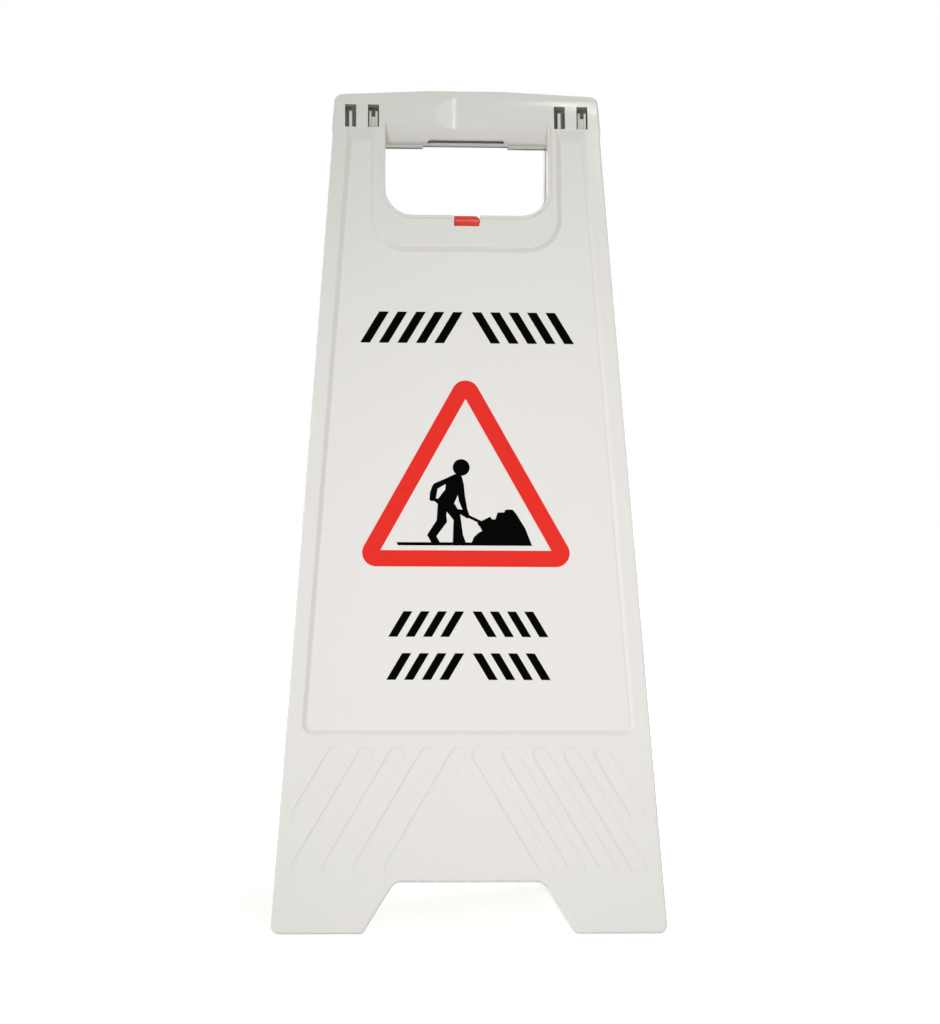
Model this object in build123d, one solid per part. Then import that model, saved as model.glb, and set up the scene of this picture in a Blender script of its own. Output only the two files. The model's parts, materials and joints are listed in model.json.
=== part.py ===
from build123d import *
import os
from math import acos, atan2, cos, degrees, hypot, radians, sin, tan

# Folding floor sign of two like panels, hinged at the head and held open by a locking arm.
# All sizes are in millimetres. A panel is drawn flat: X runs across it, Y up it from the
# hinge axis, and Z out of its face from the plane where the folded panels meet.

# Stance
half_opening = 11.0         # lean of each open panel from the vertical, in degrees
parting_gap = 0.25          # each panel stops this far short of the meeting plane

# Panel outline
hinge_height = 652.0        # floor to hinge axis, measured up the panel
head_rise = 18.4            # hinge axis to the crown
corner_drop = 4.2           # crown to the head's corners
crown_width = 60.0
head_width = 210.3          # across the panel's sides, run on up to the head's corners
head_flare = 0.9            # how far the head stands out past the legs, on each side
shoulder_drop = 20.0        # hinge axis to the shoulders where the head meets the legs
shoulder_height = 5.0
shoulder_round = 10.0
foot_width = 302.3          # across the feet at the floor
arch_height = 36.5
arch_top_width = 114.0
arch_foot_width = 159.0
foot_corner = 6.0           # radii of the outline's corners
arch_foot_corner = 3.5
arch_top_corner = 10.0
head_corner = 7.0
crown_blend = 60.0
head_bulge = 60.0           # radius of the head's front, seen from the side
bulge_drop = 2.0            # hinge axis to the head's foremost line

# Panel shell
panel_depth = 16.5          # meeting plane to the raised frame's front
face_wall = 2.2
rim_wall = 2.8
sole_wall = 4.5
toe_set = 2.3               # panel's front to where the sole meets the floor
edge_round = 1.8
rib_wall = 2.0
rib_depth = 8.0
rib_offset = 48.0           # upright ribs, from the middle
rib_low = 60.0              # floor line to the lowest cross rib
rib_pitch = 108.0           # cross ribs, up the panel
rib_count = 5

# Sunk sign field and the sheet in it
field_depth = 2.2
field_border = 11.8         # panel side to the field's edge
field_low = 148.5           # floor line to the field's edge
field_top_gap = 1.5         # hinge windows to the field's top
field_ramp = 9.0            # length of the slope at the field's top
field_corner = 8.0
field_slope = 3.2           # width of the field's other sloping edges and of the pad's
sheet_thickness = 0.3
sheet_margin = 0.6

# Sunk stripes over the feet
stripe_count = 5            # on each side of the middle
stripe_pitch = 23.7
stripe_width = 13.9
stripe_start = 55.4         # middle to the first stripe, along the stripes' feet
stripe_low = 41.3
stripe_height = 97.5
stripe_slant = 30.5         # degrees from the panel's middle line
stripe_depth = 0.5
stripe_margin = 5.5         # panel's side to where a stripe is cut short
stripe_corner = 5.5
stripe_corner_limit = 0.48  # most of a stripe's width that one corner may take

# Hand hole, its wall, the bead on its edge and the raised pad round it
hole_width = 130.4
hole_height = 61.7
hole_corner = 22.0
hole_wall = 2.6
bead_width = 2.8
bead_rise = 0.7
bead_chamfer = 0.5
pad_side = 10.2             # hole to the foot of the pad's edge
pad_drop = 29.6
pad_corner = 27.0

# Carrying handle over the hole, half of it on each panel
handle_drop = 25.5          # hinge axis to the handle's underside
handle_wall = 2.9
handle_roll = 24.0          # radius that turns its front under
handle_roll_drop = 12.0     # hinge axis to where the roll starts
handle_lip_round = 5.0
finger_slot_width = 69.0
finger_slot_height = 3.4
finger_lip_depth = 4.2      # meeting plane to the front of the lip left under the slot
finger_lip_rise = 1.7       # handle's underside to the lip's
finger_slot_chamfer = 4.6
thumb_scoop_width = 51.0
thumb_scoop_depth = 1.8

# Hinge: tongues and forks on two pins, seen through windows in the head
window_width = 8.9
window_rise = 5.0           # hinge axis to the window's top
window_drop = 14.0          # hinge axis to the window's foot
window_inner = 74.9         # middle of the panel to the windows' middles
window_outer = 93.2
hinge_eye_radius = 4.2
hinge_pin_radius = 2.2
hinge_clearance = 0.06      # pin to eye, on the radius
hinge_rim_clearance = 0.5   # pin to the half-round notches in the rims
tongue_thickness = 2.4
fork_plate = 1.8
fork_clearance = 0.4        # tongue to fork plate, on each side
web_height = 13.0           # foot of a hinge plate on the face wall
plate_setback = 3.2         # panel's front to a hinge plate's front edge
plate_rise = 0.8            # hinge axis to the top of that edge
plate_corner = 2.0
bridge_setback = 0.9        # that edge to the bridge between a fork's plates
bridge_depth = 3.0
bridge_drop = 4.0           # hinge axis to the bridge's top
pin_end_gap = 0.8
pocket_clearance = 0.5      # other panel's hinge eyes to the back of the windows' pockets

# Locking arm, its notch under the hand hole and the lugs that it catches
notch_width = 20.9
notch_height = 8.9
cheek_wall = 2.6
cheek_height = 19.0
barrel_radius = 4.4
barrel_rise = 1.1           # hand hole's foot to the barrel's top
barrel_ridge = 75.0         # degrees from the shank to the barrel's upper and lower flats
barrel_heel = 108.0
barrel_nose_round = 0.8
barrel_cut = 2.4            # corner taken off the barrel's end
arm_clearance = 0.4         # arm to notch, all round
arm_pin_radius = 1.5
arm_pin_clearance = 0.05
lug_radius = 2.0
lug_length = 3.8
lug_depth = 3.6             # meeting plane to the lugs' middles
shank_width = 12.0
shank_thickness = 5.0
cradle_wall = 2.2
cradle_clearance = 0.3
arm_turn_ratio = 4.0        # arm's turn for each degree of the panels' fold
arm_pocket_height = 11.0
arm_pocket_wall = 1.8

# Places that follow from the sizes above
lean = radians(half_opening)
foot_y = -hinge_height
corner_y = head_rise - corner_drop
floor_drop = (panel_depth - toe_set) * tan(lean)
field_floor = panel_depth - field_depth
face_back = field_floor - face_wall
field_taper = degrees(atan2(field_slope, field_depth))
bulge_y = -bulge_drop
bulge_z = panel_depth - head_bulge
side_slope = (foot_width - head_width) / 2 / (corner_y - foot_y)
arch_slope = (arch_foot_width - arch_top_width) / 2 / arch_height
hole_bottom = -handle_drop - hole_height
field_top = -window_drop - field_top_gap
ramp_foot = field_top - field_ramp
axis_height = hinge_height * cos(lean)
notch_foot = hole_bottom - notch_height
barrel_y = hole_bottom + barrel_rise - barrel_radius
barrel_z = panel_depth - barrel_radius - arm_clearance
plate_front = panel_depth - plate_setback
pocket_back = hinge_eye_radius + pocket_clearance
lug_y = barrel_y
inner_wall_face = hole_width / 2 + hole_wall
beyond = panel_depth        # how far cutting shapes run past what they cut


def half_width(y):
    """Half of the panel's width at height y."""
    return foot_width / 2 - side_slope * (y - foot_y)


def rounded_face(corners):
    """Flat face through corners given as (x, y, corner radius)."""
    points = [(x, y) for x, y, radius in corners]
    radii = [radius for x, y, radius in corners]
    return make_face(FilletPolyline(*points, radius=radii, close=True).edges())


def mirrored(right_corners):
    """Closed list of corners from those on the right, given from the bottom up."""
    return right_corners + [(-x, y, radius) for x, y, radius in reversed(right_corners)]


def straight_face(*points):
    """Flat face with straight sides."""
    return make_face(Polyline(*points, close=True).edges())


def slab(face, low, high):
    """A front view made solid between two depths."""
    return Pos(0, 0, low) * extrude(face, high - low)


def across(profile, left, right):
    """A side view, drawn in Y and Z, made solid between two places across the panel."""
    return extrude(Plane.YZ.offset(left) * profile, right - left)


def rod(radius, y, z, left, right):
    """A round bar across the panel."""
    return across(Pos(y, z) * Circle(radius), left, right)


def panel_outline():
    """Front view of a panel, run on below the floor line so that the floor can trim it."""
    low = foot_y - floor_drop
    shoulder_low = -shoulder_drop - shoulder_height / 2
    shoulder_high = -shoulder_drop + shoulder_height / 2
    return rounded_face(mirrored([
        (arch_top_width / 2, foot_y + arch_height, arch_top_corner),
        (arch_foot_width / 2 + arch_slope * floor_drop, low, arch_foot_corner),
        (half_width(low), low, foot_corner),
        (half_width(shoulder_low), shoulder_low, shoulder_round),
        (half_width(shoulder_high) + head_flare, shoulder_high, shoulder_round),
        (half_width(corner_y) + head_flare, corner_y, head_corner),
        (crown_width / 2, head_rise, crown_blend),
    ]))


def bulge_arc(start, end):
    """Stretch of the head's front in the side view, between two angles."""
    return CenterArc((bulge_y, bulge_z), head_bulge, start, end - start)


def crest_relief():
    """What lies in front of the head's bulge, above its foremost line."""
    high = 2 * head_rise
    front = bulge_arc(degrees(acos((high - bulge_y) / head_bulge)), 90)
    clear = panel_depth + beyond
    shut = Polyline(front @ 1, (bulge_y, clear), (high, clear), front @ 0)
    return across(make_face([*front.edges(), *shut.edges()]), -foot_width, foot_width)


def solid_panel(outline):
    """The panel before anything is cut into it: bulged at the head and rounded along its edges."""
    block = slab(outline, parting_gap, panel_depth) - crest_relief()
    flat = block.faces().filter_by(GeomType.PLANE).sort_by(Axis.Z)[-1]
    bulge = block.faces().filter_by(GeomType.CYLINDER).sort_by(SortBy.AREA)[-1]
    edges = flat.edges() + bulge.edges()
    seam = edges.filter_by(lambda edge: abs(edge.center().Y - bulge_y) < parting_gap)
    return fillet(edges - seam, edge_round)


def hole_face(margin, corner, drop, top):
    """Hand hole grown by a margin at its sides and a drop at its foot, square at the top."""
    half = hole_width / 2 + margin
    return rounded_face(mirrored([(half, hole_bottom - drop, corner), (half, top, 0)]))


def field_face(inset, top):
    """Tapered shape of the sunk field, drawn in from its edge and cut off at the top."""
    low = foot_y + field_low + inset
    border = field_border + inset
    return rounded_face(mirrored([
        (half_width(low) - border, low, field_corner),
        (half_width(top) - border, top, 0),
    ]))


def sunk_field():
    """What is cut for the field: sloping edges, the pad left standing, a long slope at the top."""
    basin = extrude(Pos(0, 0, panel_depth) * field_face(0, bulge_y), -field_depth, taper=field_taper)
    pad = hole_face(pad_side, pad_corner, pad_drop, head_rise)
    basin -= extrude(Pos(0, 0, field_floor) * pad, 2 * field_depth, taper=field_taper)
    ramp = straight_face(
        (ramp_foot - field_ramp, field_floor - field_depth), (field_top + field_ramp, panel_depth + field_depth),
        (head_rise + field_ramp, panel_depth + field_depth), (head_rise + field_ramp, field_floor - field_depth))
    return basin - across(ramp, -foot_width, foot_width)


def hole_bead():
    """Raised bead on the edge of the hand hole, up to where the handle turns under."""
    grown = hole_face(bead_width, hole_corner + bead_width, bead_width, -handle_roll_drop)
    ring = (grown - hole_face(0, hole_corner, 0, head_rise)).face()
    bead = slab(ring, field_floor, panel_depth + bead_rise)
    return chamfer(bead.faces().sort_by(Axis.Z)[-1].edges(), bead_chamfer)


def stripe_face(index):
    """One stripe on the right, cut short where it would come too near the panel's side."""
    slope = tan(radians(stripe_slant))
    low = foot_y + stripe_low
    inner = stripe_start + index * stripe_pitch
    outer = inner + stripe_width
    past_side = outer + stripe_margin - half_width(low)
    cut = max(0, past_side / (slope - side_slope))
    foot_shift = slope * cut
    head_shift = slope * stripe_height
    band = straight_face(
        (inner - foot_shift, low + cut), (outer - foot_shift, low + cut),
        (outer - head_shift, low + stripe_height), (inner - head_shift, low + stripe_height))
    corner = min(stripe_corner, stripe_corner_limit * stripe_width * cos(radians(stripe_slant)))
    return offset(offset(band, -corner), corner).face()


def cavity_face(outline):
    """Hollow behind the face, inside the rim, above the soles and round the hand hole's wall."""
    above_soles = straight_face(
        (-foot_width, foot_y + sole_wall), (foot_width, foot_y + sole_wall),
        (foot_width, head_rise), (-foot_width, head_rise))
    wall = hole_face(hole_wall, hole_corner + hole_wall, hole_wall, 2 * head_rise)
    return ((offset(outline, -rim_wall) & above_soles) - wall).face()


def rib_grid(hollow):
    """Stiffening ribs on the back of the face, clear of the locking arm's room."""
    low = face_back - rib_depth
    top = hole_bottom - hole_wall
    foot = foot_y + arch_height
    bars = [Pos(side * rib_offset, (top + foot) / 2) * Rectangle(rib_wall, top - foot) for side in (-1, 1)]
    for index in range(rib_count):
        level = foot_y + rib_low + index * rib_pitch
        bars.append(Pos(0, level) * Rectangle(2 * half_width(level), rib_wall))
    return [slab((bar & hollow).face(), low, face_back) for bar in bars]


def handle_profile():
    """Side view of the handle's outside, run on behind the meeting plane."""
    top = degrees(acos((head_rise - bulge_y) / head_bulge))
    joint = degrees(acos((-handle_roll_drop - bulge_y) / head_bulge))
    roll_y = bulge_y + (head_bulge - handle_roll) * cos(radians(joint))
    roll_z = bulge_z + (head_bulge - handle_roll) * sin(radians(joint))
    under = degrees(acos((-handle_drop - roll_y) / handle_roll))
    front = bulge_arc(top, joint)
    roll = CenterArc((roll_y, roll_z), handle_roll, joint, under - joint)
    shut = Polyline(roll @ 1, (-handle_drop, -beyond), (head_rise, -beyond), front @ 0)
    profile = make_face([*front.edges(), *roll.edges(), *shut.edges()])
    lip = profile.vertices().group_by(Axis.X)[0].sort_by(Axis.Y)[-1]
    return fillet(lip, handle_lip_round)


def hand_hole():
    """What is cut for the hand: the hole, the room under the handle's roll, the hollow in the handle,
    a finger slot in its lower lip and a thumb scoop in its front."""
    profile = handle_profile()
    hole = slab(hole_face(0, hole_corner, 0, bulge_y), 0, panel_depth + beyond)
    half = hole_width / 2
    slot_half = finger_slot_width / 2
    slot_top = -handle_drop + finger_slot_height
    slot = straight_face(
        (-slot_half, -handle_drop - finger_slot_height), (slot_half, -handle_drop - finger_slot_height),
        (slot_half, slot_top - finger_slot_chamfer), (slot_half - finger_slot_chamfer, slot_top),
        (finger_slot_chamfer - slot_half, slot_top), (-slot_half, slot_top - finger_slot_chamfer))
    under_lip = Pos(0, -handle_drop) * Rectangle(finger_slot_width, 2 * finger_lip_rise)
    scoop_radius = (thumb_scoop_width ** 2 / 4 + thumb_scoop_depth ** 2) / (2 * thumb_scoop_depth)
    scoop = Rot(90, 0, 0) * Cylinder(scoop_radius, 2 * (head_rise + handle_drop))
    return [
        hole - across(profile, -hole_width, hole_width),
        across(offset(profile, -handle_wall), -half, half),
        slab(slot, finger_lip_depth, panel_depth),
        slab(under_lip, 0, panel_depth),
        Pos(0, 0, panel_depth - thumb_scoop_depth + scoop_radius) * scoop,
    ]


def window_pockets(hollow):
    """Roof and back wall of the pockets that the hinge windows open into."""
    roof = Pos(0, window_rise + rib_wall / 2) * Rectangle(foot_width, rib_wall)
    back_height = window_rise + rib_wall + window_drop
    back = Pos(0, back_height / 2 - window_drop) * Rectangle(foot_width, back_height)
    pieces = [slab(face, pocket_back, face_back) for face in (roof & hollow).faces()]
    return pieces + [slab(face, pocket_back, pocket_back + rib_wall) for face in (back & hollow).faces()]


def hinge_plate():
    """Side view of a hinge plate: an eye on the hinge axis and a web to the face wall under the window."""
    web = rounded_face([
        (hinge_eye_radius, 0, 0), (plate_rise, plate_front, plate_corner), (-window_drop, plate_front, 0),
        (-window_drop - web_height, face_back + face_wall / 2, 0), (-hinge_eye_radius, parting_gap, 0)])
    return web + Circle(hinge_eye_radius) - Circle(hinge_pin_radius + hinge_clearance)


def hinge_plates():
    """A tongue or a fork behind each window, so that a panel turned round fits its twin."""
    plate = hinge_plate()
    slot_half = tongue_thickness / 2 + fork_clearance
    bridge_height = window_drop + face_wall - bridge_drop
    bridge = Pos(-bridge_drop - bridge_height / 2, plate_front - bridge_setback - bridge_depth / 2)
    plates = []
    for place in (-window_outer, window_inner):
        plates.append(across(plate, place - tongue_thickness / 2, place + tongue_thickness / 2))
    for place in (-window_inner, window_outer):
        plates.append(across(plate, place - slot_half - fork_plate, place - slot_half))
        plates.append(across(plate, place + slot_half, place + slot_half + fork_plate))
        plates.append(across(bridge * Rectangle(bridge_height, bridge_depth), place - slot_half, place + slot_half))
    return plates


def lock_seat():
    """Cheeks beside the notch, with the lugs that the other panel's arm catches."""
    inner = notch_width / 2
    pieces = []
    for side in (-1, 1):
        cheek = Pos(side * (inner + cheek_wall / 2), hole_bottom - cheek_height / 2)
        pieces.append(slab(cheek * Rectangle(cheek_wall, cheek_height), parting_gap, face_back + face_wall / 2))
        ends = sorted((side * (inner - lug_length), side * (inner + cheek_wall / 2)))
        pieces.append(rod(lug_radius, lug_y, lug_depth, *ends))
    return pieces


def lock_room():
    """What the locking arm needs cut away: its notch, a pocket behind the pad, its pin's bore."""
    outer = notch_width / 2 + cheek_wall
    notch = Pos(0, hole_bottom) * Rectangle(notch_width, 2 * notch_height)
    pocket = Pos(0, notch_foot - arm_pocket_height / 2) * Rectangle(notch_width, arm_pocket_height)
    return [
        slab(notch, 0, panel_depth + beyond),
        slab(pocket, face_back - arm_clearance, panel_depth - arm_pocket_wall),
        rod(arm_pin_radius + arm_pin_clearance, barrel_y, barrel_z, -outer, outer),
    ]


def opening_relief():
    """Room above the hinge axis for the open panels to lean on each other."""
    rise = 2 * head_rise
    face = straight_face((0, -beyond), (0, parting_gap), (rise, parting_gap + rise * tan(lean)), (rise, -beyond))
    return across(face, -head_width, head_width)


def floor_trim():
    """What lies below the floor when the panel stands open."""
    drop = 2 * beyond * tan(lean)
    deep = foot_y - 2 * beyond
    face = straight_face((foot_y + drop, -2 * beyond), (foot_y - drop, 2 * beyond), (deep, 2 * beyond),
                         (deep, -2 * beyond))
    return across(face, -foot_width, foot_width)


def panel():
    """One moulded panel, drawn flat."""
    outline = panel_outline()
    hollow = cavity_face(outline)
    shell = solid_panel(outline)
    shell -= slab(hollow, 0, face_back)
    shell -= sunk_field()
    for index in range(stripe_count):
        stripe = slab(stripe_face(index), panel_depth - stripe_depth, panel_depth + beyond)
        shell -= [stripe, mirror(stripe, Plane.YZ)]

    shell += rib_grid(hollow)
    shell += lock_seat()
    shell += window_pockets(hollow)
    shell += hole_bead()
    shell -= hand_hole()
    shell -= lock_room()

    window = Pos(0, (window_rise - window_drop) / 2) * Rectangle(window_width, window_rise + window_drop)
    rim_notch = hinge_pin_radius + hinge_rim_clearance
    for side in (-1, 1):
        for place in (window_inner, window_outer):
            shell -= Pos(side * place, 0, 0) * slab(window, pocket_back + rib_wall, panel_depth + beyond)
        ends = sorted((side * window_outer, side * head_width))
        shell -= rod(rim_notch, 0, 0, *ends)
    shell -= opening_relief()
    shell += hinge_plates()
    return shell - floor_trim()


def in_section(y, z):
    """Place in the standing sign's side view, from the hinge axis, of a point of the front panel."""
    return y * sin(lean) - z * cos(lean), y * cos(lean) + z * sin(lean)


def barrel_profile():
    """Side view of the arm's barrel: round at the back, with two flats that meet in a nose at the front."""
    back = CenterArc((0, 0), barrel_radius, -barrel_heel, barrel_heel + barrel_ridge)
    front = Polyline(back @ 1, (-barrel_radius, 0), back @ 0)
    profile = make_face([*back.edges(), *front.edges()])
    return fillet(profile.vertices().sort_by(Axis.X)[0], barrel_nose_round)


def locking_arm():
    """Arm from its barrel in the front panel's notch to the cradles under the rear panel's lugs."""
    pivot_y, pivot_z = in_section(barrel_y, barrel_z)
    front_lug_y, lug_z = in_section(lug_y, lug_depth)
    catch_y = -front_lug_y
    reach = hypot(catch_y - pivot_y, lug_z - pivot_z)
    tilt = degrees(atan2(lug_z - pivot_z, catch_y - pivot_y))
    cradle_inside = lug_radius + cradle_clearance
    cradle_outside = cradle_inside + cradle_wall
    escape = degrees(atan2(-lug_z, arm_turn_ratio * reach - catch_y))
    mouth = Rot(0, 0, escape) * Pos(0, cradle_outside) * Rectangle(4 * cradle_outside, 2 * cradle_outside)
    cradle = Pos(reach, 0) * (Circle(cradle_outside) - Circle(cradle_inside) - mouth)
    shank = Pos(reach / 2, 0) * Rectangle(reach, shank_thickness) + Pos(reach, 0) * Circle(shank_thickness / 2)
    wide = notch_width / 2 - arm_clearance
    cut_side = barrel_cut * hypot(1, 1)
    arm = across(barrel_profile(), -wide, wide)
    arm -= Pos(wide, 0, barrel_radius) * Rot(0, 45, 0) * Box(cut_side, 2 * barrel_radius, cut_side)
    arm += across(shank, -shank_width / 2, shank_width / 2)
    arm += across(cradle, -wide, wide)
    arm -= rod(arm_pin_radius + arm_pin_clearance, 0, 0, -notch_width, notch_width)
    return Pos(0, pivot_y, axis_height + pivot_z) * Rot(tilt, 0, 0) * arm


def locking_arm_pin():
    """Pin through both cheeks of the front panel's notch."""
    pivot_y, pivot_z = in_section(barrel_y, barrel_z)
    half = notch_width / 2 + cheek_wall
    pin = rod(arm_pin_radius, 0, 0, -half, half)
    return Pos(0, pivot_y, axis_height + pivot_z) * pin


def hinge_pin(side):
    """Pin through the tongues and forks of one end of the head."""
    ends = sorted((side * (inner_wall_face + pin_end_gap), side * (half_width(0) - pin_end_gap)))
    return Pos(0, 0, axis_height) * rod(hinge_pin_radius, 0, 0, *ends)


def sign_face():
    """Thin printed sheet on the floor of the sunk field, drawn flat."""
    plain = field_face(field_slope + sheet_margin, ramp_foot - sheet_margin)
    pad = hole_face(pad_side + sheet_margin, pad_corner + sheet_margin, pad_drop + sheet_margin, head_rise)
    return slab((plain - pad).face(), field_floor, field_floor + sheet_thickness)


standing = Pos(0, 0, axis_height) * Rot(90 - half_opening, 0, 0)
turned = Rot(0, 0, 180) * standing
moulding = panel()
nodes = {
    "front_panel": standing * moulding,
    "rear_panel": turned * moulding,
    "front_sign_face": standing * sign_face(),
    "hinge_pin_left": hinge_pin(-1),
    "hinge_pin_right": hinge_pin(1),
    "locking_arm": locking_arm(),
    "locking_arm_pin": locking_arm_pin(),
}
os.makedirs("parts", exist_ok=True)
for name, shape in nodes.items():
    export_step(shape, f"parts/{name}.step")
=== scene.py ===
import json
from math import acos, atan2, cos, pi, radians, sin, tan
import bmesh
import bpy
from mathutils import Matrix, Vector
from mathutils.geometry import tessellate_polygon


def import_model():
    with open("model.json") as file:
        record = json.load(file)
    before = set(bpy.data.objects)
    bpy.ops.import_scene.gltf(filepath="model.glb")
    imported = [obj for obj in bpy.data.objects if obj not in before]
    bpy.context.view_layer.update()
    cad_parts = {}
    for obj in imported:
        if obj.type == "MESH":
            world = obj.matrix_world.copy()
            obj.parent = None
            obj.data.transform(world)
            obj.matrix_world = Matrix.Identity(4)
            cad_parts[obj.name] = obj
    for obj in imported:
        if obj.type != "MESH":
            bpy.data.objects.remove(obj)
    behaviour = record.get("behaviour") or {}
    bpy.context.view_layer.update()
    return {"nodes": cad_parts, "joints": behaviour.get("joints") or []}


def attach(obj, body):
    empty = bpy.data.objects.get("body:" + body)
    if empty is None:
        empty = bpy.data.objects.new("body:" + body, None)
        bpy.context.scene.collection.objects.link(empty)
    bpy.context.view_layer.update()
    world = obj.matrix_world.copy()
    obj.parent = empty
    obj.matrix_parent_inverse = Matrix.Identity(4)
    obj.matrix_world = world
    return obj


# Folding floor sign: finishes for the moulded panels, pins and locking arm, and the print on the front sheet.
# The object's sizes are in millimetres and become metres where geometry is made; the floor, lamps and camera
# are in metres. The print is laid out on the front panel: u runs across it from the middle, v up it from the
# hinge axis.

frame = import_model()
nodes = frame["nodes"]
joints = {joint["name"]: joint for joint in frame["joints"]}

MM = 0.001
INK_THICKNESS = 0.08
ARC_STEP = radians(6)

# Red triangle
TRIANGLE_MIDDLE = -1.6
TRIANGLE_BASE = -358.85         # v of the inner edge of its foot
TRIANGLE_WIDTH = 133.75         # inside the band
TRIANGLE_HEIGHT = 121.5
TRIANGLE_BAND = 12.9
TRIANGLE_CORNER = 11.0

# Rows of slanted bars over and under the triangle
BAR_SLANT = radians(30.5)
BAR_SHARE = 0.52                # bar's width, of the pitch
TOP_ROW = {"low": -192.1, "height": 25.5, "width": 162.6, "bars": 10}
MIDDLE_ROW = {"low": -427.0, "height": 20.0, "width": 118.0, "bars": 8}
FOOT_ROW = {"low": -460.6, "height": 20.8, "width": 120.8, "bars": 8}

# Colours, from the darker tone to the lighter one
WHITE_TONES = (0.757, 0.74, 0.698), (0.78, 0.76, 0.718)
RED_TONES = (0.93, 0.075, 0.050), (0.96, 0.085, 0.058)
NYLON_TONES = (0.68, 0.66, 0.57), (0.75, 0.73, 0.66)
BLACK_INK_TONES = (0.001, 0.001, 0.001), (0.0018, 0.0018, 0.0018)
RED_INK_TONES = (0.75, 0.024, 0.016), (0.81, 0.030, 0.020)

# Painted shade in the white plastic's corners and gaps, and a painted olive glow in hollows that face down
SHADE_REACH = 12                # how near another surface has to be
PAINTED_CORNER_SHADE = (0.40, 0.40, 0.24)
PAINTED_GAP_SHADE = (0.06, 0.06, 0.048)
# Painted olive glow, lighter than the plastic, for hollows that face down
UNDERSIDE_PAINTED_GLOW = (0.92, 0.92, 0.56)
CORNER_SHARE, GAP_SHARE = 0.7, 0.95     # at most
SHADE_FOOT, SHADE_TOP = 6, 16   # heights over which it comes in, so that the floor doesn't darken the feet

NOISE_LOW, NOISE_HIGH = 0.3, 0.7    # where most of the noise lies

# Sockets of a colour mix
MIX_SHARE, MIX_FIRST, MIX_SECOND, MIX_RESULT = 0, 6, 7, 2

# Floor and sky
FLOOR_REACH = 60
FLOOR_PALE = 0.9                # as seen
NEAR_REACH, FAR_REACH = 0.3, 1.2        # from the origin, which is on the floor under the hinge
NEAR_BOUNCE, FAR_BOUNCE = 0.55, 0.15    # paleness as it lights the object
NEAR_GLOW, FAR_GLOW = 0.51, 0.75        # where it is seen
HORIZON_LEVEL, OVERHEAD_LEVEL = 1.98, 0.32
SKY_COLOUR = (0.98, 1.0, 0.95)

# Lamps
SIGN_MIDDLE = Vector((0, -0.02, 0.33))
BEAM_TARGET = Vector((0.11, -0.04, 0.27))
KEY_COLOUR = (0.925, 0.892, 1.0)

# Camera
EYE = (-0.1005, -2.2, 0.3206)
YAW = radians(-2.753)
ROLL = radians(0.307)
LENS = 95.45


# Placing on the front panel

def front_panel_matrix():
    """Turns (u, v, height over the sheet), in millimetres, into the frame's metres."""
    fold = joints["fold"]
    lean = radians(fold["range_deg"][1] - fold["range_deg"][0]) / 2
    across = Vector((1, 0, 0))
    up = Vector((0, sin(lean), cos(lean)))
    out = Vector((0, -cos(lean), sin(lean)))
    axis = Vector(fold["pos_m"])
    surface = max((v.co - axis).dot(out) for v in nodes["front_sign_face"].data.vertices)
    turn = Matrix((across, up, out)).transposed().to_4x4()
    return Matrix.Translation(axis + surface * out) @ turn @ Matrix.Scale(MM, 4)


ON_SHEET = front_panel_matrix()


# Outlines, as lists of (u, v)

def arc(centre, radius, start, end):
    """Points along an arc, in radians, both ends included."""
    steps = max(2, round(abs(end - start) / ARC_STEP))
    angles = [start + (end - start) * index / steps for index in range(steps + 1)]
    return [(centre[0] + radius * cos(angle), centre[1] + radius * sin(angle)) for angle in angles]


def rounded(corners):
    """Closed outline through corners given as (u, v) or (u, v, radius)."""
    outline = []
    for index, corner in enumerate(corners):
        here = Vector(corner[:2])
        radius = corner[2] if len(corner) > 2 else 0
        if not radius:
            outline.append(tuple(here))
            continue
        back = (Vector(corners[index - 1][:2]) - here).normalized()
        ahead = (Vector(corners[(index + 1) % len(corners)][:2]) - here).normalized()
        half = acos(max(-1, min(1, back.dot(ahead)))) / 2
        middle = here + (back + ahead).normalized() * radius / sin(half)
        first = here + back * radius / tan(half) - middle
        last = here + ahead * radius / tan(half) - middle
        start = atan2(first.y, first.x)
        sweep = (atan2(last.y, last.x) - start + pi) % (2 * pi) - pi
        outline += arc(middle, radius, start, start + sweep)
    return outline


def printed(name, shapes, ink):
    """Thin closed layer of ink on the sheet. Each shape is its outside, then its holes."""
    mesh = bmesh.new()
    for outlines in shapes:
        low, high = [], []
        for outline in outlines:
            low.append([mesh.verts.new((u, v, 0)) for u, v in outline])
            high.append([mesh.verts.new((u, v, INK_THICKNESS)) for u, v in outline])
        flat_low = [vert for ring in low for vert in ring]
        flat_high = [vert for ring in high for vert in ring]
        for triangle in tessellate_polygon([[vert.co for vert in ring] for ring in low]):
            mesh.faces.new([flat_low[index] for index in triangle])
            mesh.faces.new([flat_high[index] for index in reversed(triangle)])
        for ring_low, ring_high in zip(low, high):
            for index in range(len(ring_low)):
                mesh.faces.new((ring_low[index - 1], ring_low[index], ring_high[index], ring_high[index - 1]))
    bmesh.ops.recalc_face_normals(mesh, faces=mesh.faces)
    mesh.transform(ON_SHEET)
    data = bpy.data.meshes.new(name)
    mesh.to_mesh(data)
    mesh.free()
    data.materials.append(ink)
    piece = bpy.data.objects.new(name, data)
    bpy.context.scene.collection.objects.link(piece)
    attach(piece, "front")


# Nodes of a material or the sky

def new_material(name):
    """A node material, with its shader."""
    material = bpy.data.materials.new(name)
    material.use_nodes = True
    return material, material.node_tree.nodes["Principled BSDF"]


def add(owner, kind, **inputs):
    """A node of that kind, with values set on its inputs."""
    node = owner.node_tree.nodes.new(kind)
    for key, value in inputs.items():
        node.inputs[key.replace("_", " ")].default_value = value
    return node


def link(owner, output, socket):
    """Leads a node's output to an input."""
    owner.node_tree.links.new(output, socket)


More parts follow.
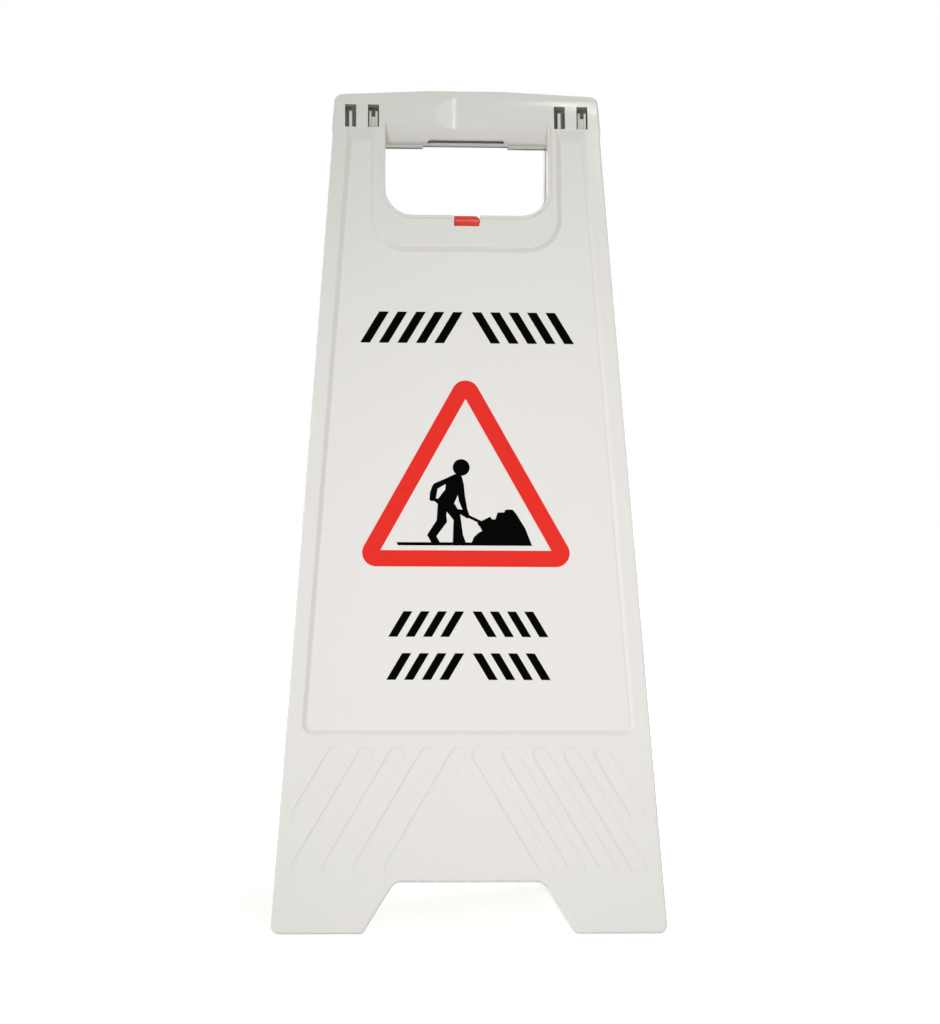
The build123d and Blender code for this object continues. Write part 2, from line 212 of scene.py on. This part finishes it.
def noise(owner, scale, detail, stretch=(1, 1, 1)):
    """Noise in the frame's own place, with scale in cells to the metre."""
    place = add(owner, "ShaderNodeTexCoord")
    sized = add(owner, "ShaderNodeMapping", Scale=stretch)
    texture = add(owner, "ShaderNodeTexNoise", Scale=scale, Detail=detail)
    link(owner, place.outputs["Object"], sized.inputs["Vector"])
    link(owner, sized.outputs["Vector"], texture.inputs["Vector"])
    return texture.outputs["Fac"]


def spread(owner, texture, low, high):
    """Noise brought to a range."""
    ranged = add(owner, "ShaderNodeMapRange",
                 From_Min=NOISE_LOW, From_Max=NOISE_HIGH, To_Min=low, To_Max=high)
    link(owner, texture, ranged.inputs["Value"])
    return ranged.outputs["Result"]


def bump(owner, shader, layers):
    """Bumps on each other, given as (noise, depth in millimetres)."""
    before = None
    for texture, depth in layers:
        node = add(owner, "ShaderNodeBump", Strength=1.0, Distance=depth * MM)
        link(owner, texture, node.inputs["Height"])
        if before:
            link(owner, before.outputs["Normal"], node.inputs["Normal"])
        before = node
    link(owner, before.outputs["Normal"], shader.inputs["Normal"])


def blend(owner, share, first, second):
    """Colour mixed between two colours by a node's value."""
    mix = add(owner, "ShaderNodeMix")
    mix.data_type = "RGBA"
    link(owner, share, mix.inputs[MIX_SHARE])
    for socket, colour in ((mix.inputs[MIX_FIRST], first), (mix.inputs[MIX_SECOND], second)):
        if isinstance(colour, tuple):
            socket.default_value = (*colour, 1)
        else:
            link(owner, colour, socket)
    return mix.outputs[MIX_RESULT]


def between(owner, share, low, high, start=0.0, end=1.0):
    """Number that goes from low to high as the share goes from start to end."""
    ranged = add(owner, "ShaderNodeMapRange")
    ranged.interpolation_type = "SMOOTHSTEP"
    for key, value in (("From Min", start), ("From Max", end), ("To Min", low), ("To Max", high)):
        if isinstance(value, bpy.types.NodeSocket):
            link(owner, value, ranged.inputs[key])
        else:
            ranged.inputs[key].default_value = value
    link(owner, share, ranged.inputs["Value"])
    return ranged.outputs["Result"]


def upright(owner, vector):
    """The part of a vector that points up."""
    parts = add(owner, "ShaderNodeSeparateXYZ")
    link(owner, vector, parts.inputs["Vector"])
    return parts.outputs["Z"]


def seen(owner):
    """1 for rays from the camera, a reflection or a clear body, and 0 for rays that light the object."""
    path = add(owner, "ShaderNodeLightPath")
    value = path.outputs["Is Camera Ray"]
    for other in ("Is Glossy Ray", "Is Transmission Ray"):
        either = add(owner, "ShaderNodeMath")
        either.operation = "MAXIMUM"
        link(owner, value, either.inputs[0])
        link(owner, path.outputs[other], either.inputs[1])
        value = either.outputs[0]
    return value


# Materials

def white_plastic():
    """Off-white moulded polypropylene: fine grain, soft waviness, painted shade in corners and gaps, painted
    glow under hollows.
    """
    material, shader = new_material("white_plastic")
    tone = blend(material, noise(material, scale=14, detail=4), *WHITE_TONES)
    # Painted shade: the colour darkens to olive in corners and to near black in gaps, by how near other
    # surfaces are
    corner = add(material, "ShaderNodeAmbientOcclusion", Distance=SHADE_REACH * MM)
    corner.samples = 6
    openness = corner.outputs["AO"]
    place = add(material, "ShaderNodeTexCoord")
    # Hollows that face down take a painted olive glow in place of the darker painted shade
    faces_down_for_painted_glow = between(material, upright(material, place.outputs["Normal"]), 1.0, 0.0, start=-0.8, end=-0.3)
    painted_corner_colour = blend(material, faces_down_for_painted_glow, PAINTED_CORNER_SHADE, UNDERSIDE_PAINTED_GLOW)
    painted_gap_colour = blend(material, faces_down_for_painted_glow, PAINTED_GAP_SHADE, UNDERSIDE_PAINTED_GLOW)
    height = upright(material, place.outputs["Object"])
    most_corner = between(material, height, 0.0, CORNER_SHARE, SHADE_FOOT * MM, SHADE_TOP * MM)
    most_gap = between(material, height, 0.0, GAP_SHARE, SHADE_FOOT * MM, SHADE_TOP * MM)
    corner_painted_shade_share = between(material, openness, most_corner, 0.0, start=0.15, end=0.78)
    gap_painted_shade_share = between(material, openness, most_gap, 0.0, start=0.08, end=0.42)
    # The painted shade and the painted glow are mixed into the base colour
    with_painted_corner_shade = blend(material, corner_painted_shade_share, tone, painted_corner_colour)
    link(material, blend(material, gap_painted_shade_share, with_painted_corner_shade, painted_gap_colour), shader.inputs["Base Color"])
    grain = noise(material, scale=400, detail=3)
    link(material, spread(material, grain, 0.07, 0.10), shader.inputs["Roughness"])
    waves, pores = noise(material, scale=22, detail=2), noise(material, scale=1500, detail=2)
    bump(material, shader, [(waves, 0.04), (pores, 0.002)])
    shader.inputs["IOR"].default_value = 1.49
    return material


def printed_sheet():
    """Satin white film that carries the print."""
    material, shader = new_material("printed_sheet")
    tone = blend(material, noise(material, scale=9, detail=3), *WHITE_TONES)
    link(material, tone, shader.inputs["Base Color"])
    grain = noise(material, scale=240, detail=3)
    link(material, spread(material, grain, 0.42, 0.52), shader.inputs["Roughness"])
    waves, pores = noise(material, scale=16, detail=2), noise(material, scale=2600, detail=2)
    bump(material, shader, [(waves, 0.06), (pores, 0.006)])
    return material


def ink(name, tones, roughness, shine):
    """Screen-printed ink, with a slightly uneven film."""
    material, shader = new_material(name)
    tone = blend(material, noise(material, scale=220, detail=4), *tones)
    link(material, tone, shader.inputs["Base Color"])
    film = noise(material, scale=500, detail=3)
    link(material, spread(material, film, roughness - 0.05, roughness + 0.05), shader.inputs["Roughness"])
    bump(material, shader, [(noise(material, scale=2600, detail=2), 0.006)])
    shader.inputs["Specular IOR Level"].default_value = shine
    return material


def red_plastic():
    """Glossy red moulding of the locking arm."""
    material, shader = new_material("red_plastic")
    tone = blend(material, noise(material, scale=90, detail=3), *RED_TONES)
    link(material, tone, shader.inputs["Base Color"])
    grain = noise(material, scale=300, detail=3)
    link(material, spread(material, grain, 0.16, 0.22), shader.inputs["Roughness"])
    waves, pores = noise(material, scale=60, detail=2), noise(material, scale=1600, detail=2)
    bump(material, shader, [(waves, 0.01), (pores, 0.004)])
    shader.inputs["Coat Weight"].default_value = 0.6
    shader.inputs["Coat Roughness"].default_value = 0.08
    return material


def pin_nylon():
    """Natural nylon rod, with fine drawing marks along it."""
    material, shader = new_material("pin_nylon")
    marks = noise(material, scale=900, detail=4, stretch=(0.04, 1, 1))
    link(material, blend(material, marks, *NYLON_TONES), shader.inputs["Base Color"])
    link(material, spread(material, marks, 0.30, 0.46), shader.inputs["Roughness"])
    bump(material, shader, [(marks, 0.01)])
    return material


for slot_material in (white_plastic(), printed_sheet(), red_plastic(), pin_nylon()):
    for node in nodes.values():
        if node.data.materials[0].name.split(".")[0] == slot_material.name.split(".")[0]:
            node.material_slots[0].link = "OBJECT"
            node.material_slots[0].material = slot_material

BLACK_INK = ink("black_ink", BLACK_INK_TONES, roughness=0.5, shine=0.01)
RED_INK = ink("red_ink", RED_INK_TONES, roughness=0.45, shine=0.08)


# Print on the front sheet

def on_triangle(points):
    """Places measured from the middle of the triangle's inner foot."""
    return [(TRIANGLE_MIDDLE + point[0], TRIANGLE_BASE + point[1], *point[2:]) for point in points]


def triangle_band():
    """Red triangle with a round-cornered outside and a sharp inside."""
    half = TRIANGLE_WIDTH / 2
    inner = [(-half, 0), (half, 0), (0, TRIANGLE_HEIGHT)]
    steep = atan2(TRIANGLE_HEIGHT, half)
    foot = half + TRIANGLE_BAND / tan(steep / 2)
    top = TRIANGLE_HEIGHT + TRIANGLE_BAND / cos(steep)
    outer = [(-foot, -TRIANGLE_BAND), (foot, -TRIANGLE_BAND), (0, top)]
    outside = rounded(on_triangle([(*corner, TRIANGLE_CORNER) for corner in outer]))
    return [outside, rounded(on_triangle(inner))]


def digging_figure():
    """Roadworks figure: a digger with a spade, a heap of spoil and the ground under them."""
    head, head_radius = (-3.6, 66.2), 6.65
    nape, throat = (-8.3, 60.8), (-3.4, 59.2)
    before_head = [
        (51.7, 3.9), (-53.3, 3.9), (-54.3, 6.4), (-27.3, 6.4), (-30.4, 12.2, 0.6), (-22.95, 23.9, 1),
        (-22.1, 37.0), (-24.9, 39.3, 1), (-28.6, 38.9, 1.8), (-28.2, 46.0, 6), (-25.6, 53.0, 4),
        (-15.2, 57.6, 8)]
    after_head = [
        (-1.7, 53.4, 6), (-0.7, 43.5, 8), (1.0, 33.2, 6), (2.7, 28.0), (12.1, 23.5), (19.0, 27.0),
        (20.4, 24.9), (23.1, 24.9), (24.8, 30.3, 0.8), (30.0, 30.5), (31.0, 32.6, 1), (36.6, 32.8, 2),
        (39.4, 29.3, 3), (46.5, 17.6, 12)]
    first = atan2(nape[1] - head[1], nape[0] - head[0])
    last = atan2(throat[1] - head[1], throat[0] - head[0])
    outside = rounded(on_triangle(before_head + arc(head, head_radius, first + 2 * pi, last) + after_head))
    behind_back = [(-15.8, 52.8), (-16.1, 48.7, 1), (-21.8, 41.1), (-23.5, 41.4), (-22.1, 49.2)]
    under_arm = [(-6.3, 44.2), (-5.5, 39.4), (-2.7, 32.4), (-6.5, 32.9), (-9.2, 37.7)]
    between_legs = [
        (-15.0, 30.8), (-9.7, 24.1), (-10.4, 6.4), (-20.5, 6.4), (-23.2, 11.2), (-14.8, 22.6), (-15.4, 28.0)]
    under_spade = [
        (-4.6, 28.8), (1.0, 25.4), (2.0, 25.8), (9.3, 22.3), (9.1, 20.8), (11.1, 18.7), (12.6, 15.6),
        (9.8, 14.0), (6.2, 10.7), (4.4, 6.4), (-0.2, 6.4), (-2.4, 12.5), (-3.9, 23.9)]
    gaps = (behind_back, under_arm, between_legs, under_spade)
    return [outside] + [rounded(on_triangle(gap)) for gap in gaps]


def bar_row(row):
    """Slanted bars, leaning towards the middle from both sides."""
    lean = row["height"] * tan(BAR_SLANT)
    half_count = row["bars"] // 2
    pitch = (row["width"] / 2 - lean) / (half_count - 1 + BAR_SHARE)
    low, high = row["low"], row["low"] + row["height"]
    shapes = []
    for index in range(half_count):
        inner = index * pitch + pitch * (1 - BAR_SHARE) / 2
        outer = inner + pitch * BAR_SHARE
        right = [(inner + lean, low), (outer + lean, low), (outer, high), (inner, high)]
        shapes.append([right])
        shapes.append([[(-u, v) for u, v in right]])
    return shapes


printed("triangle_band", [triangle_band()], RED_INK)
printed("digging_figure", [digging_figure()], BLACK_INK)
for row_name, row in (("bar_row_top", TOP_ROW), ("bar_row_middle", MIDDLE_ROW), ("bar_row_foot", FOOT_ROW)):
    printed(row_name, bar_row(row), BLACK_INK)


# Floor, light and camera

def floor():
    """Pale floor that keeps the shadow. Further off it throws less light on the object and glows more."""
    mesh = bpy.data.meshes.new("floor")
    corners = [(x * FLOOR_REACH, y * FLOOR_REACH, 0) for x, y in ((-1, -1), (1, -1), (1, 1), (-1, 1))]
    mesh.from_pydata(corners, [], [(0, 1, 2, 3)])
    plane = bpy.data.objects.new("floor", mesh)
    bpy.context.scene.collection.objects.link(plane)
    material, shader = new_material("floor")
    shader.inputs["Roughness"].default_value = 0.9
    shader.inputs["Specular IOR Level"].default_value = 0.1
    shader.inputs["Emission Color"].default_value = (1, 1, 1, 1)
    looked_at = seen(material)
    place = add(material, "ShaderNodeTexCoord")
    distance = add(material, "ShaderNodeVectorMath")
    distance.operation = "LENGTH"
    link(material, place.outputs["Object"], distance.inputs[0])
    away = distance.outputs["Value"]
    bounce = between(material, away, NEAR_BOUNCE, FAR_BOUNCE, NEAR_REACH, FAR_REACH)
    link(material, between(material, looked_at, bounce, FLOOR_PALE), shader.inputs["Base Color"])
    glow = between(material, away, NEAR_GLOW, FAR_GLOW, NEAR_REACH, FAR_REACH)
    link(material, between(material, looked_at, 0, glow), shader.inputs["Emission Strength"])
    mesh.materials.append(material)


def world():
    """Soft light from all round, less from overhead, and white where it is seen."""
    sky = bpy.data.worlds.new("studio")
    bpy.context.scene.world = sky
    sky.use_nodes = True
    background = sky.node_tree.nodes["Background"]
    direction = add(sky, "ShaderNodeTexCoord")
    rise = upright(sky, direction.outputs["Generated"])
    lit = between(sky, rise, HORIZON_LEVEL, OVERHEAD_LEVEL, start=0.1, end=0.5)
    looked_at = seen(sky)
    link(sky, between(sky, looked_at, lit, 1.0), background.inputs["Strength"])
    link(sky, blend(sky, looked_at, SKY_COLOUR, (1, 1, 1)), background.inputs["Color"])


def from_sign(azimuth, elevation, distance):
    """Place at a bearing from the sign's middle, in degrees to the right of its front and over the level."""
    turn, rise = radians(azimuth), radians(elevation)
    way = Vector((sin(turn) * cos(rise), -cos(turn) * cos(rise), sin(rise)))
    return SIGN_MIDDLE + distance * way


def soft_box(name, power, width, height):
    """Oblong lamp."""
    lamp = bpy.data.lights.new(name, "AREA")
    lamp.shape = "RECTANGLE"
    lamp.size = width
    lamp.size_y = height
    lamp.energy = power
    return lamp


def spot_lamp(name, power, cone, radius, colour):
    """Lamp with a soft-edged beam."""
    lamp = bpy.data.lights.new(name, "SPOT")
    lamp.color = colour
    lamp.spot_size = cone
    lamp.spot_blend = 1.0
    lamp.shadow_soft_size = radius
    lamp.energy = power
    return lamp


def aim(lamp, place, target):
    """Puts a lamp at a place, turned to a point, where the camera doesn't see it."""
    holder = bpy.data.objects.new(lamp.name, lamp)
    holder.location = place
    holder.rotation_euler = (target - place).to_track_quat("-Z", "Y").to_euler()
    holder.visible_camera = False
    bpy.context.scene.collection.objects.link(holder)


def camera():
    """The photograph's view."""
    data = bpy.data.cameras.new("camera")
    data.sensor_width = 36
    data.lens = LENS
    holder = bpy.data.objects.new("camera", data)
    holder.location = EYE
    holder.rotation_euler = (pi / 2, -ROLL, YAW)
    bpy.context.scene.collection.objects.link(holder)
    bpy.context.scene.camera = holder


floor()
world()
aim(spot_lamp("key", power=516, cone=radians(12.2), radius=0.22, colour=KEY_COLOUR),
    from_sign(azimuth=-32, elevation=0, distance=5.0), BEAM_TARGET)
aim(soft_box("window", power=5.6, width=0.63, height=2.3),
    from_sign(azimuth=16, elevation=35, distance=3.0), SIGN_MIDDLE)
aim(soft_box("window_edge", power=1.6, width=0.03, height=1.3),
    from_sign(azimuth=9.2, elevation=43.7, distance=3.2), SIGN_MIDDLE)
aim(soft_box("back_right", power=30, width=2.6, height=0.9),
    from_sign(azimuth=135, elevation=7, distance=3.0), SIGN_MIDDLE)
aim(soft_box("back_left", power=14, width=2.6, height=0.9),
    from_sign(azimuth=-135, elevation=7, distance=3.0), SIGN_MIDDLE)
camera()
bpy.context.scene.view_settings.view_transform = "Standard"
